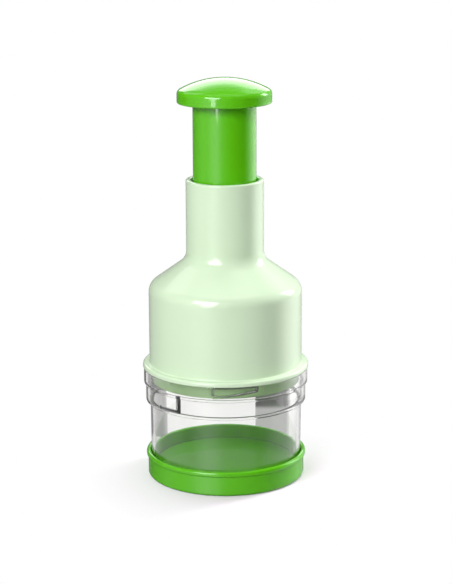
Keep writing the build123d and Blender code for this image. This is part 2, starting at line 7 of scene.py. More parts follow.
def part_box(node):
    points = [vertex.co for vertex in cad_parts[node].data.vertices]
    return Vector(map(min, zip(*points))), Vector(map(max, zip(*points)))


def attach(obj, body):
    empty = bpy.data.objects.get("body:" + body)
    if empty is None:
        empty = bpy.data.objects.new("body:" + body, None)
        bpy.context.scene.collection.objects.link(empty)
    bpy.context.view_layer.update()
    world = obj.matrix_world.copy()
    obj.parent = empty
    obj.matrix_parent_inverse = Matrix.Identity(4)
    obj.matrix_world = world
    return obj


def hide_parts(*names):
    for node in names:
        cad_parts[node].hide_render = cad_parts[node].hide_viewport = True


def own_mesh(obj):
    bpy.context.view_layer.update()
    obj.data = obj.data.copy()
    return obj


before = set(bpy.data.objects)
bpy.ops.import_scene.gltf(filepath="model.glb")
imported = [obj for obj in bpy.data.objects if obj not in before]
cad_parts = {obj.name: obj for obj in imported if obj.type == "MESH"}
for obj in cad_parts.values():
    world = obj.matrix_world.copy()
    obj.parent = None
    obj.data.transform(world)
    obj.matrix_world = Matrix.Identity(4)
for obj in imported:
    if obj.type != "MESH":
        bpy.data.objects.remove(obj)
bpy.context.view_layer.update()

# ---- Camera ----
# It stands a metre in front, a little above the knob, and looks down on the chopper.
mm = 0.001
camera = bpy.data.objects.new("camera", bpy.data.cameras.new("camera"))
bpy.context.scene.collection.objects.link(camera)
bpy.context.scene.camera = camera
camera.data.sensor_fit = "VERTICAL"
camera.data.sensor_height = 36.0
camera.data.lens = 112.65
camera.data.clip_end = 50.0
camera.location = (0.0, -1001.6 * mm, 350.8 * mm)
camera_pitch, camera_roll, camera_yaw = 76.27, 0.25, -0.085
camera.rotation_euler = Euler(np.radians((camera_pitch, camera_roll, camera_yaw)))
bpy.context.scene.view_settings.view_transform = "Standard"


# ---- Studio ----
# A white room on a pale floor. Three softboxes light the chopper; curved walls and bright cards round it
# show only in its gloss, and two grey flags behind it show only through the clear cup.
def new_material(name):
    """A material with an empty node tree and an output node."""
    material = bpy.data.materials.new(name)
    material.use_nodes = True
    material.node_tree.nodes.clear()
    material.node_tree.nodes.new("ShaderNodeOutputMaterial")
    return material


def add_node(tree, kind, inputs=(), **settings):
    """A node of this kind, with its settings, its socket values and its links made at once."""
    node = tree.nodes.new(kind)
    for key, value in settings.items():
        setattr(node, key, value)
    for socket, value in dict(inputs).items():
        if isinstance(value, bpy.types.NodeSocket):
            tree.links.new(value, node.inputs[socket])
        else:
            node.inputs[socket].default_value = value
    return node


def finish_material(material, shader):
    """Joins a shader's output to the material's surface."""
    output = material.node_tree.nodes["Material Output"]
    material.node_tree.links.new(shader, output.inputs["Surface"])
    return material


def ramp(tree, factor, stops, scale=1.0):
    """A colour ramp of greys, given as pairs of place and level, the level being over the scale."""
    node = add_node(tree, "ShaderNodeValToRGB", {"Fac": factor})
    bar = node.color_ramp
    for place, _ in stops[2:]:
        bar.elements.new(place)
    for stop, (place, level) in zip(bar.elements, stops):
        stop.position = place
        stop.color = (level / scale, level / scale, level / scale, 1)
    return node


def stage_mesh(name, corners, faces, shader_of, rays):
    """A piece of the studio, met only by the rays that are named."""
    mesh = bpy.data.meshes.new(name)
    mesh.from_pydata(corners, [], faces)
    made = bpy.data.objects.new(name, mesh)
    bpy.context.scene.collection.objects.link(made)
    material = new_material(name)
    mesh.materials.append(finish_material(material, shader_of(material.node_tree)))
    for ray in ("camera", "diffuse", "glossy", "transmission", "shadow", "volume_scatter"):
        setattr(made, f"visible_{ray}", ray in rays)


def sphere_place(azimuth, elevation, distance, target=(0, 0, 0.12)):
    """A place on a sphere round the target; azimuth 0 is at the camera and grows to the right."""
    a, e = np.radians((azimuth, elevation))
    offset = Vector((np.sin(a) * np.cos(e), -np.cos(a) * np.cos(e), np.sin(e))) * distance
    return Vector(target) + offset, offset


def softbox(name, azimuth, elevation, distance, size, power, mirrored=True):
    """A rectangular lamp that faces the chopper."""
    place, offset = sphere_place(azimuth, elevation, distance)
    lamp = bpy.data.objects.new(name, bpy.data.lights.new(name, "AREA"))
    bpy.context.scene.collection.objects.link(lamp)
    lamp.data.shape = "RECTANGLE"
    lamp.data.size, lamp.data.size_y = size
    lamp.data.energy = power
    lamp.location = place
    lamp.rotation_euler = (-offset).to_track_quat("-Z", "Y").to_euler()
    lamp.visible_glossy = mirrored
    lamp.visible_transmission = False


softbox("key", -31, 28, 1.2, (0.72, 0.48), 11.6)
softbox("right_wall", 124, 18, 1.2, (0.32, 1.2), 22.5, mirrored=False)
softbox("overhead", 0, 89, 1.1, (0.8, 0.8), 4.3, mirrored=False)

brightest = 3.3


def light_of(tree, share, levels):
    """Plain light whose level follows a share, given as pairs of the share and the level."""
    grey = ramp(tree, share, levels, brightest)
    light = add_node(tree, "ShaderNodeEmission", {"Color": grey.outputs["Color"], "Strength": brightest})
    return light.outputs[0]


def by_azimuth(levels):
    """Light that changes with the turn round the chopper, as the walls of a room do."""
    def shade(tree):
        place = add_node(tree, "ShaderNodeTexCoord")
        turned = add_node(
            tree, "ShaderNodeTexGradient", {"Vector": place.outputs["Object"]}, gradient_type="RADIAL"
        )
        return light_of(tree, turned.outputs["Fac"], [((angle + 90) / 360, level) for angle, level in levels])

    return shade


def by_height(top, levels):
    """Light that fades with height, as a lit wall does above its lamps."""
    def shade(tree):
        place = add_node(tree, "ShaderNodeTexCoord")
        parts = add_node(tree, "ShaderNodeSeparateXYZ", {"Vector": place.outputs["Object"]})
        share = add_node(tree, "ShaderNodeMath", {0: parts.outputs["Z"], 1: top}, operation="DIVIDE")
        return light_of(tree, share.outputs[0], [(height / top, level) for height, level in levels])

    return shade


def curved_wall(name, radius, low, high, first, last, shader_of):
    """Part of an upright cylinder round the chopper, between two azimuths, that only gloss shows."""
    steps = 96
    turn = np.radians(np.linspace(first, last, steps + 1))
    foot = np.stack([radius * np.sin(turn), -radius * np.cos(turn), 0 * turn], -1)
    corners = np.concatenate([foot + (0, 0, low), foot + (0, 0, high)])
    index = np.arange(steps)
    faces = np.stack([index, index + 1, index + steps + 2, index + steps + 1], -1)
    stage_mesh(name, corners.tolist(), faces.tolist(), shader_of, ("glossy",))


high_levels = (
    (-90, 0.45), (-80, 0.45), (-64, 0.8), (-54, 0.9), (-50, 1.5), (-28, 1.7), (-18, 1.1), (-6, 0.45),
    (6, 0.3), (20, 0.15), (40, 0.1), (68, 0.05), (80, 0.1), (92, 0.5), (106, 1.1), (128, 1.0), (145, 0.6),
    (160, 0.35), (200, 0.25), (220, 0.1), (250, 0.05), (265, 0.4),
)
shaft_levels = (
    (-90, 0.65), (-76, 0.75), (-66, 0.85), (-56, 1.2), (-46, 1.8), (-38, 2.1), (-28, 2.1), (-18, 1.5),
    (-8, 0.7), (4, 0.35), (20, 0.12), (40, 0.05), (76, 0.05), (86, 0.4), (94, 0.8), (104, 1.4), (112, 1.8),
    (133, 1.9), (150, 1.2), (160, 0.5), (200, 0.25), (220, 0.12), (250, 0.3), (265, 0.6),
)
bell_levels = (
    (-90, 0.65), (-64, 0.8), (-54, 0.9), (-50, 1.5), (-28, 1.7), (-18, 1.1), (-6, 0.45), (6, 0.3), (20, 0.15),
    (40, 0.1), (68, 0.05), (78, 0.1), (86, 0.8), (94, 1.6), (102, 2.3), (116, 2.3), (128, 1.7), (138, 1.1),
    (150, 0.5), (160, 0.35), (200, 0.3), (216, 0.4), (238, 0.35), (250, 0.35), (265, 0.6),
)
tray_levels = (
    (-90, 0.6), (-67, 0.6), (-53, 0.9), (-40, 1.65), (-28, 2.1), (-14, 1.5), (-4, 0.75), (6, 0.5), (20, 0.4),
    (32, 0.4), (45, 0.28), (58, 0.38), (72, 0.55), (88, 0.9), (106, 1.0), (128, 1.0), (145, 0.6), (160, 0.35),
    (200, 0.25), (220, 0.12), (250, 0.3), (265, 0.6),
)
room_walls = (
    ("high_wall", 0.035, 1.0, high_levels), ("shaft_wall", -0.065, 0.035, shaft_levels),
    ("bell_wall", -0.34, -0.065, bell_levels), ("tray_wall", -1.7, -0.34, tray_levels),
)
for name, low, high, levels in room_walls:
    curved_wall(name, 1.3, low, high, -90, 270, by_azimuth(levels))
back_low, back_top = 0.45, 2.2
back_levels = (
    (0.0, brightest), (0.98, brightest), (1.1, 3.0), (1.24, 2.3), (1.39, 1.5), (1.56, 0.95), (1.76, 0.6),
    (back_top, 0.4),
)
curved_wall("back_light", 1.25, back_low, back_top, 158, 201, by_height(back_top, back_levels))


def glow_of(strength):
    """A plain grey or white light."""
    return lambda tree: add_node(tree, "ShaderNodeEmission", {"Strength": strength}).outputs[0]


def card(name, azimuth, sides, strength):
    """A panel that only gloss shows; each side is an elevation and half the azimuths that it covers."""
    corners = [
        tuple(sphere_place(azimuth + half, elevation, 1.2)[0])
        for elevation, half in sides for half in (-half, half)
    ]
    stage_mesh(name, corners, [(0, 1, 3, 2)], glow_of(strength), ("glossy",))


card_bright = 8.0
card("key_foot", -26.5, ((-4, 5), (17, 14)), card_bright)
card("right_box", 118.5, ((10, 9.5), (36, 9.5)), card_bright)
card("ceiling", 0, ((58, 50), (122, -50)), 1.0)
card("back_right", 146, ((29, 14), (55, 16)), 1.3)
card("back_left", 224, ((32, 16), (58, 20)), 1.4)

flag_y, flag_top = 62.0 * mm, 130.0 * mm


def flag(name, share, grey):
    """A grey flag that stands behind the cup and shows only through it.

    The share, by place across, is how much of the flag there is; the rest lets the room through. The
    grey, by height, is the flag's own level. Both are given as pairs of a place in metres and a value.
    """
    low, high = share[0][0], share[-1][0]

    def shade(tree):
        place = add_node(tree, "ShaderNodeTexCoord")
        parts = add_node(tree, "ShaderNodeSeparateXYZ", {"Vector": place.outputs["Object"]})
        across = add_node(
            tree, "ShaderNodeMapRange", {"Value": parts.outputs["X"], "From Min": low, "From Max": high}
        )
        up = add_node(tree, "ShaderNodeMapRange", {"Value": parts.outputs["Z"], "From Max": flag_top})
        part = ramp(tree, across.outputs[0], [((x - low) / (high - low), value) for x, value in share])
        level = ramp(tree, up.outputs[0], [(z / flag_top, value) for z, value in grey])
        dark = add_node(tree, "ShaderNodeEmission", {"Color": level.outputs["Color"]})
        clear = tree.nodes.new("ShaderNodeBsdfTransparent")
        mixed = add_node(
            tree, "ShaderNodeMixShader",
            {0: part.outputs["Color"], 1: clear.outputs[0], 2: dark.outputs[0]},
        )
        return mixed.outputs[0]

    corners = [(low, flag_y, 0), (high, flag_y, 0), (high, flag_y, flag_top), (low, flag_y, flag_top)]
    stage_mesh(name, corners, [(0, 1, 2, 3)], shade, ("transmission",))


flag(
    "left_flag", ((-0.0750, 1.0), (-0.0450, 1.0), (-0.0402, 0.75), (-0.0392, 0.0), (-0.0390, 0.0)),
    ((0.0, 0.30), (0.012, 0.36), (0.026, 0.36), (0.036, 0.0), (flag_top, 0.0)),
)
flag(
    "right_flag", ((0.0188, 0.0), (0.0194, 1.0), (0.0415, 1.0), (0.0455, 0.0)),
    ((0.0, 0.48), (0.0178, 0.50), (0.0202, 0.13), (0.028, 0.10), (0.036, 0.0), (flag_top, 0.0)),
)


def first_look(tree):
    """One for what shows straight away or through the clear cup, and nothing for scattered light."""
    path = add_node(tree, "ShaderNodeLightPath")
    seen = add_node(
        tree, "ShaderNodeMath",
        {0: path.outputs["Is Camera Ray"], 1: path.outputs["Is Transmission Ray"]}, operation="MAXIMUM",
    )
    direct = add_node(
        tree, "ShaderNodeMath", {0: path.outputs["Diffuse Depth"], 1: 0.5}, operation="LESS_THAN"
    )
    both = add_node(tree, "ShaderNodeMath", {0: seen.outputs[0], 1: direct.outputs[0]}, operation="MULTIPLY")
    return both.outputs[0]


world = bpy.data.worlds.new("room")
bpy.context.scene.world = world
world.use_nodes = True
room = world.node_tree
room.nodes.clear()
room_fill, room_seen = 0.235, 1.0
path = add_node(room, "ShaderNodeLightPath")
plain = add_node(room, "ShaderNodeMath", {0: path.outputs["Glossy Depth"], 1: 0.5}, operation="LESS_THAN")
seen = add_node(room, "ShaderNodeMath", {0: first_look(room), 1: plain.outputs[0]}, operation="MULTIPLY")
level = add_node(
    room, "ShaderNodeMapRange", {"Value": seen.outputs[0], "To Min": room_fill, "To Max": room_seen}
)
white = add_node(room, "ShaderNodeBackground", {"Color": (1, 1, 1, 1), "Strength": level.outputs[0]})
add_node(room, "ShaderNodeOutputWorld", {"Surface": white.outputs[0]})

shadow_middle, shadow_near, shadow_far, least_glow = (0.013, -0.011, 0.0), 0.034, 0.091, 0.12
# Near the tray the floor's paint turns pinkish; this tint is painted to cancel the green light the tray
# throws on it.
tint_near, tint_far = 0.044, 0.064
ahead_far, ahead_near = -0.070, -0.050
floor_pale, floor_tinted, floor_dim = (0.88, 0.88, 0.88, 1), (0.88, 0.79, 0.88, 1), (0.42, 0.42, 0.42, 1)


def floor_paint(tree):
    """Pale paint that keeps the chopper's soft shadow, and turns to plain white away from it.

    The paint is darker for scattered light, and for what the chopper's gloss shows of the floor ahead
    of it. From below there is no floor.
    """
    place = add_node(tree, "ShaderNodeTexCoord")
    parts = add_node(tree, "ShaderNodeSeparateXYZ", {"Vector": place.outputs["Object"]})
    ahead = add_node(
        tree, "ShaderNodeMapRange",
        {
            "Value": parts.outputs["Y"], "From Min": ahead_far, "From Max": ahead_near,
            "To Min": 1.0, "To Max": 0.0,
        },
    )
    path = add_node(tree, "ShaderNodeLightPath")
    mirrored = add_node(
        tree, "ShaderNodeMath", {0: ahead.outputs[0], 1: path.outputs["Glossy Depth"]},
        operation="MULTIPLY", use_clamp=True,
    )
    kept = add_node(tree, "ShaderNodeMath", {0: 1.0, 1: mirrored.outputs[0]}, operation="SUBTRACT")
    seen = add_node(
        tree, "ShaderNodeMath", {0: first_look(tree), 1: kept.outputs[0]}, operation="MULTIPLY"
    ).outputs[0]
    distance = add_node(
        tree, "ShaderNodeVectorMath", {0: place.outputs["Object"], 1: shadow_middle}, operation="DISTANCE"
    )
    far = add_node(
        tree, "ShaderNodeMapRange",
        {
            "Value": distance.outputs["Value"], "From Min": shadow_near, "From Max": shadow_far,
            "To Min": least_glow, "To Max": 1.0,
        },
    )
    # Painted against light: close to the tray the paint is tinted pink, to take out the tray's green light on
    # the floor.
    near = add_node(
        tree, "ShaderNodeMapRange",
        {
            "Value": distance.outputs["Value"], "From Min": tint_near, "From Max": tint_far,
            "To Min": 1.0, "To Max": 0.0,
        },
    )
    grey = add_node(
        tree, "ShaderNodeMix", {0: near.outputs[0], 6: floor_pale, 7: floor_tinted}, data_type="RGBA"
    )
    pale = add_node(
        tree, "ShaderNodeMix", {0: seen, 6: floor_dim, 7: grey.outputs[2]}, data_type="RGBA"
    )
    share = add_node(tree, "ShaderNodeMath", {0: far.outputs[0], 1: seen}, operation="MULTIPLY")
    paint = add_node(tree, "ShaderNodeBsdfDiffuse", {"Color": pale.outputs[2]})
    glow = add_node(tree, "ShaderNodeEmission", {"Color": (1, 1, 1, 1), "Strength": 1.0})
    mixed = add_node(
        tree, "ShaderNodeMixShader", {0: share.outputs[0], 1: paint.outputs[0], 2: glow.outputs[0]}
    )
    under = add_node(tree, "ShaderNodeNewGeometry")
    clear = add_node(tree, "ShaderNodeBsdfTransparent")
    one_sided = add_node(
        tree, "ShaderNodeMixShader",
        {0: under.outputs["Backfacing"], 1: mixed.outputs[0], 2: clear.outputs[0]},
    )
    return one_sided.outputs[0]


half_floor = 6.0
stage_mesh(
    "floor", [(x * half_floor, y * half_floor, 0) for x, y in ((-1, -1), (1, -1), (1, 1), (-1, 1))],
    [(0, 1, 2, 3)],
    floor_paint, ("camera", "diffuse", "transmission", "shadow"),
)


# ---- Base tray ----
# Bright green polypropylene dish, moulded in one shot, with a rolled bead round its rim. It stands on a
# foot ring that is the lower end of its wall, and the clear cup drops into it.
def rounded(corners, closed=True, steps=8, hold=0.35 * mm):
    """An outline's corners turned into arcs.

    Each corner is a radius from the axis, a height and a rounding. Its arc touches both sides, and a
    point follows a short way along either side, so that a long flat side shades flat up to the arc.
    """
    points = np.array([corner[:2] for corner in corners])
    rounding = np.array([corner[2] for corner in corners])[:, None]
    back, ahead = np.roll(points, 1, 0) - points, np.roll(points, -1, 0) - points
    back_run = np.linalg.norm(back, axis=1, keepdims=True)
    ahead_run = np.linalg.norm(ahead, axis=1, keepdims=True)
    back, ahead = back / back_run, ahead / ahead_run
    half_angle = np.arccos(np.clip((back * ahead).sum(1, keepdims=True), -1, 1)) / 2
    cut = rounding / np.tan(half_angle)
    bisector = back + ahead
    bisector /= np.linalg.norm(bisector, axis=1, keepdims=True)
    centre = points + bisector * rounding / np.sin(half_angle)
    first, last = points + back * cut - centre, points + ahead * cut - centre
    sweep = (np.pi - 2 * half_angle)[:, None]
    s = np.linspace(0, 1, steps)[None, :, None]
    arc = (np.sin((1 - s) * sweep) * first[:, None] + np.sin(s * sweep) * last[:, None]) / np.sin(sweep)
    arc = arc + centre[:, None]
    back_free = back_run - cut - np.roll(cut, 1, 0)
    ahead_free = ahead_run - cut - np.roll(cut, -1, 0)
    before = points + back * (cut + np.minimum(hold, back_free / 3))
    after = points + ahead * (cut + np.minimum(hold, ahead_free / 3))
    made = np.concatenate([before[:, None], arc, after[:, None]], axis=1)
    if closed:
        return made.reshape(-1, 2)
    return np.concatenate([points[:1], made[1:-1].reshape(-1, 2), points[-1:]])


def surface(name, points, closed_rows=True, poles=()):
    """A mesh from a grid of points, rows by columns by three, whose columns close on themselves.

    Rows close too, unless two poles are given; then each pole closes the first or the last row. The
    faces are turned outward by the sign of the volume that they enclose.
    """
    rows, columns = points.shape[:2]
    index = np.arange(rows * columns).reshape(rows, columns)
    right = np.roll(index, -1, 1)
    corners = points.reshape(-1, 3)
    if closed_rows:
        quads = np.stack([index, right, np.roll(right, -1, 0), np.roll(index, -1, 0)], -1).reshape(-1, 4)
        fans = np.zeros((0, 3), int)
    else:
        quads = np.stack([index[:-1], right[:-1], right[1:], index[1:]], -1).reshape(-1, 4)
        low, high = np.full(columns, rows * columns), np.full(columns, rows * columns + 1)
        fans = np.concatenate([
            np.stack([right[0], index[0], low], -1), np.stack([index[-1], right[-1], high], -1),
        ])
        corners = np.concatenate([corners, np.array(poles)])
    a, b, c = np.moveaxis(corners[np.concatenate([quads[:, :3], quads[:, [0, 2, 3]], fans])], 1, 0)
    faces = quads.tolist() + fans.tolist()
    if (a * np.cross(b, c)).sum() < 0:
        faces = [face[::-1] for face in faces]
    mesh = bpy.data.meshes.new(name)
    mesh.from_pydata(corners.tolist(), [], faces)
    mesh.polygons.foreach_set("use_smooth", np.ones(len(faces), bool))
    mesh.update()
    piece = bpy.data.objects.new(name, mesh)
    bpy.context.scene.collection.objects.link(piece)
    return piece


def lathe(name, outline, turns=256):
    """An outline carried round the Z axis: x = radius times sine, y = radius times minus cosine."""
    turn = np.linspace(0, 2 * np.pi, turns, endpoint=False)
    on_axis = outline[0, 0] < 1e-9
    poles = [(0, 0, outline[0, 1]), (0, 0, outline[-1, 1])] if on_axis else ()
    if on_axis:
        outline = outline[1:-1]
    radius, height = outline[:, :1], outline[:, 1:]
    points = np.stack([radius * np.sin(turn), -radius * np.cos(turn), height + 0 * turn], -1)
    return surface(name, points, not on_axis, poles)


def new_group(name, inputs, outputs):
    """An empty shader node group with these named sockets; a kind is Float or Color."""
    group = bpy.data.node_groups.new(name, "ShaderNodeTree")
    for direction, sockets in (("INPUT", inputs), ("OUTPUT", outputs)):
        for socket, kind in sockets:
            group.interface.new_socket(socket, in_out=direction, socket_type=f"NodeSocket{kind}")
    return group, group.nodes.new("NodeGroupInput"), group.nodes.new("NodeGroupOutput")


# Moulded plastic: pigment that varies a little along the flow of the melt, a faint orange peel, hairline
# scratches from use and a thin film of handling that dulls the gloss in patches.
moulded, given, out = new_group(
    "moulded_skin",
    [("Colour", "Color"), ("Roughness", "Float"), ("Flow", "Float"), ("Scratches", "Float")],
    [("Colour", "Color"), ("Roughness", "Float"), ("Height", "Float")],
)
place = add_node(moulded, "ShaderNodeTexCoord")
along_flow = add_node(moulded, "ShaderNodeMapping", {"Vector": place.outputs["Object"], "Scale": (40, 40, 9)})
flow = add_node(moulded, "ShaderNodeTexNoise", {"Vector": along_flow.outputs[0], "Scale": 1.0, "Detail": 3.0})
speck = add_node(
    moulded, "ShaderNodeTexNoise", {"Vector": place.outputs["Object"], "Scale": 2600.0, "Detail": 1.0}
)
both = add_node(moulded, "ShaderNodeMath", {0: flow.outputs["Fac"], 1: speck.outputs["Fac"]}, operation="ADD")
shift = add_node(moulded, "ShaderNodeMath", {0: both.outputs[0], 1: -1.0}, operation="ADD")
amount = add_node(
    moulded, "ShaderNodeMath", {0: shift.outputs[0], 1: given.outputs["Flow"]}, operation="MULTIPLY"
)
value = add_node(moulded, "ShaderNodeMath", {0: amount.outputs[0], 1: 1.0}, operation="ADD")
tinted = add_node(
    moulded, "ShaderNodeHueSaturation", {"Color": given.outputs["Colour"], "Value": value.outputs[0]}
)
across = add_node(
    moulded, "ShaderNodeMapping",
    {"Vector": place.outputs["Object"], "Scale": (260, 260, 90), "Rotation": (0.5, 0.3, 0.2)},
)
bent = add_node(moulded, "ShaderNodeTexNoise", {"Vector": across.outputs[0], "Scale": 0.35, "Detail": 2.0})
bent_place = add_node(
    moulded, "ShaderNodeVectorMath", {0: across.outputs[0], 1: bent.outputs["Color"]}, operation="ADD"
)
cells = add_node(
    moulded, "ShaderNodeTexVoronoi", {"Vector": bent_place.outputs[0], "Scale": 0.35},
    feature="DISTANCE_TO_EDGE",
)
hairline = add_node(
    moulded, "ShaderNodeMapRange",
    {"Value": cells.outputs["Distance"], "From Min": 0.0, "From Max": 0.012, "To Min": 1.0, "To Max": 0.0},
)
patch = add_node(
    moulded, "ShaderNodeTexNoise", {"Vector": place.outputs["Object"], "Scale": 60.0, "Detail": 2.0}
)
patch_mask = add_node(
    moulded, "ShaderNodeMapRange", {"Value": patch.outputs["Fac"], "From Min": 0.52, "From Max": 0.66}
)
worn = add_node(
    moulded, "ShaderNodeMath", {0: hairline.outputs[0], 1: patch_mask.outputs[0]}, operation="MULTIPLY"
)
scratch = add_node(
    moulded, "ShaderNodeMath", {0: worn.outputs[0], 1: given.outputs["Scratches"]}, operation="MULTIPLY"
)
film = add_node(
    moulded, "ShaderNodeMapRange",
    {"Value": patch.outputs["Fac"], "From Min": 0.35, "From Max": 0.75, "To Min": -0.03, "To Max": 0.05},
)
film_rough = add_node(
    moulded, "ShaderNodeMath", {0: film.outputs[0], 1: given.outputs["Roughness"]}, operation="ADD"
)
scratch_rough = add_node(moulded, "ShaderNodeMath", {0: scratch.outputs[0], 1: 0.25}, operation="MULTIPLY")
rough = add_node(
    moulded, "ShaderNodeMath", {0: film_rough.outputs[0], 1: scratch_rough.outputs[0]}, operation="ADD"
)
peel = add_node(
    moulded, "ShaderNodeTexNoise", {"Vector": place.outputs["Object"], "Scale": 420.0, "Detail": 1.0}
)
height = add_node(
    moulded, "ShaderNodeMath", {0: peel.outputs["Fac"], 1: scratch.outputs[0]}, operation="SUBTRACT"
)
moulded.links.new(tinted.outputs[0], out.inputs["Colour"])
moulded.links.new(rough.outputs[0], out.inputs["Roughness"])
moulded.links.new(height.outputs[0], out.inputs["Height"])


def moulded_plastic(name, colour, roughness, flow, scratches, bump, **sockets):
    """An opaque glossy or satin plastic with the moulded skin."""
    material = new_material(name)
    tree = material.node_tree
    skin = tree.nodes.new("ShaderNodeGroup")
    skin.node_tree = moulded
    skin.inputs["Colour"].default_value = (*colour, 1)
    skin.inputs["Roughness"].default_value = roughness
    skin.inputs["Flow"].default_value = flow
    skin.inputs["Scratches"].default_value = scratches
    relief = add_node(
        tree, "ShaderNodeBump", {"Height": skin.outputs["Height"], "Distance": bump, "Strength": 1.0}
    )
    body = add_node(
        tree, "ShaderNodeBsdfPrincipled",
        {
            "Base Color": skin.outputs["Colour"],
            "Roughness": skin.outputs["Roughness"],
            "Normal": relief.outputs["Normal"],
            **sockets,
        },
    )
    return finish_material(material, body.outputs[0])


bright_green = moulded_plastic(
    "bright_green_plastic", (0.105, 0.505, 0.003), 0.06, 0.05, 0.6, 0.004 * mm, **{"IOR": 1.5}
)

lowest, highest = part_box("base_tray")
tray_h, bead_r = highest.z, highest.x
bead_out, bead_h = 0.95 * mm, 2.7 * mm
tray_r = bead_r - bead_out
tray_in_r = tray_r - 1.6 * mm
foot_in_r = tray_r - 4.4 * mm
floor_top, floor_t = 6.5 * mm, 2.2 * mm
tray = lathe(
    "tray_dish",
    rounded(
        [
            (0, floor_top, 0),
            (tray_in_r, floor_top, 0.3 * mm),
            (tray_in_r, tray_h, 0.9 * mm),
            (bead_r, tray_h, 1.3 * mm),
            (bead_r, tray_h - bead_h, 0.9 * mm),
            (tray_r, tray_h - bead_h - 0.25 * mm, 0.3 * mm),
            (tray_r, 0, 1.8 * mm),
            (foot_in_r, 0, 0.5 * mm),
            (foot_in_r, floor_top - floor_t, 0.8 * mm),
            (0, floor_top - floor_t, 0),
        ],
        closed=False,
    ),
    turns=320,
)
tray.data.materials.append(bright_green)
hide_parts("base_tray")
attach(tray, "tray")


# ---- Chopping cup ----
# Clear moulded plastic in two tiers, open at both ends. Its three inner lugs hold the bell's bayonet
# ledges, and three L-shaped ribs below them stop the chopped food from turning with the blade.
def outline_distance(corners, across, height):
    """Distance from each place to a closed outline, negative inside it.

    It is the least distance to the outline's sides, and its sign comes from how often a line drawn
    from the place to the right crosses them.
    """
    start = np.array(corners)[:, None]
    end = np.roll(start, -1, 0)
    place = np.stack([across.ravel(), height.ravel()], -1)[None]
    side = end - start
    share = np.clip(((place - start) * side).sum(-1) / (side**2).sum(-1), 0, 1)
    gap = np.linalg.norm(place - start - share[..., None] * side, axis=-1).min(0)
    above = (start[..., 1] > place[..., 1]) != (end[..., 1] > place[..., 1])
    rise = np.where(side[..., 1] == 0, 1, side[..., 1])
    crossing = start[..., 0] + (place[..., 1] - start[..., 1]) / rise * side[..., 0]
    inside = (above & (crossing > place[..., 0])).sum(0) % 2 == 1
    return np.where(inside, -gap, gap).reshape(across.shape)


def figured_lathe(name, outline, turn, reach, figures, slope=0.35 * mm):
    """A turned piece whose wall carries raised figures.

    A figure is a closed outline of turns in degrees, heights and roundings, the radius of its face, the
    turns at which it repeats, and two distances that shape its painted shade line. Inside it the wall's
    radius moves to the face's over a narrow sloping edge. Only the wall within the reach, two radii, is
    moved. The attribute that paints shade along the edges is one there; it fades over the first distance, and
    counts a place inside the figure as no nearer than the second.
    """
    radius, height = outline[:, :1] + 0 * turn, outline[:, 1:] + 0 * turn
    in_reach = (outline[:, :1] > reach[0]) & (outline[:, :1] < reach[1])
    painted_shade_lines = 0 * radius
    for corners, face_r, places, width, low in figures:
        middle = (face_r + reach[1]) / 2
        flat = rounded([(middle * np.sin(np.radians(t)), z, r) for t, z, r in corners], steps=6)
        for centre in places:
            away = np.radians((turn - centre + 180) % 360 - 180)
            near = np.abs(away) < np.pi / 2
            gap = outline_distance(flat, middle * np.sin(away) + 0 * height, height)
            mask = np.clip(0.5 - gap / slope, 0, 1) * near
            mask = mask * mask * (3 - 2 * mask) * in_reach
            push = face_r - radius
            outward = face_r > outline[in_reach[:, 0], 0].mean()
            radius = radius + mask * (np.maximum(push, 0) if outward else np.minimum(push, 0))
            # Painted shade: a dark line along each figure's edge, fading away from it.
            painted_shade_lines = np.maximum(painted_shade_lines, np.exp(-((np.maximum(gap, low) / width) ** 2)) * near * in_reach)
    t = np.radians(turn)
    made = surface(name, np.stack([radius * np.sin(t), -radius * np.cos(t), height], -1))
    painted_shade_attribute = made.data.attributes.new("painted_edge_shade", "FLOAT", "POINT")
    painted_shade_attribute.data.foreach_set("value", painted_shade_lines.ravel())
    return made


def with_rows(outline, low, high, inner, outer, step):
    """Adds rows to an outline, a step apart, where it lies between two heights and two radii."""
    run = np.concatenate([[0], np.cumsum(np.linalg.norm(np.diff(outline, axis=0), axis=1))])
    fine = np.arange(0, run[-1], step)
    radius, height = np.interp(fine, run, outline[:, 0]), np.interp(fine, run, outline[:, 1])
    keep = (height > low) & (height < high) & (radius > inner) & (radius < outer)
    every = np.union1d(run, fine[keep])
    every = every[np.diff(every, prepend=-1) > 0.02 * mm]
    return np.stack([np.interp(every, run, outline[:, 0]), np.interp(every, run, outline[:, 1])], -1)


def with_columns(count, edges, half_width, step):
    """Turns round the axis in degrees: an even share of the circle, and a fine share about each edge."""
    fine = np.add.outer(np.array(edges), np.arange(-half_width, half_width + step, step)).ravel()
    every = np.sort(np.concatenate([np.arange(count) * 360 / count, fine % 360]))
    return every[np.diff(every, prepend=-1) > step / 3]


lowest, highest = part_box("chopping_cup")
cup_top, cup_low, cup_wall = highest.z, lowest.z, 1.8 * mm
high_tier_r = highest.x
low_tier_r = high_tier_r - 1.1 * mm
waist_r = low_tier_r - 2.45 * mm
cup_r = waist_r - 0.3 * mm
high_step = cup_top - 8.9 * mm
low_step = high_step - 10.5 * mm
step_floor = 1.2 * mm
high_in_r, low_in_r = high_tier_r - cup_wall, low_tier_r - cup_wall
cup_outline = rounded(
    [
        (cup_r, cup_low, 0.5 * mm),
        (waist_r, low_step, 0.5 * mm),
        (low_tier_r, low_step, 0.9 * mm),
        (low_tier_r, high_step, 0.3 * mm),
        (high_tier_r, high_step, 0.6 * mm),
        (high_tier_r, cup_top, 0.4 * mm),
        (high_in_r, cup_top, 0.4 * mm),
        (high_in_r, high_step + step_floor, 0.4 * mm),
        (low_in_r, high_step + step_floor, 0.3 * mm),
        (low_in_r, low_step + step_floor, 0.5 * mm),
        (waist_r - cup_wall, low_step + step_floor, 0.5 * mm),
        (cup_r - cup_wall, cup_low, 0.4 * mm),
    ]
)
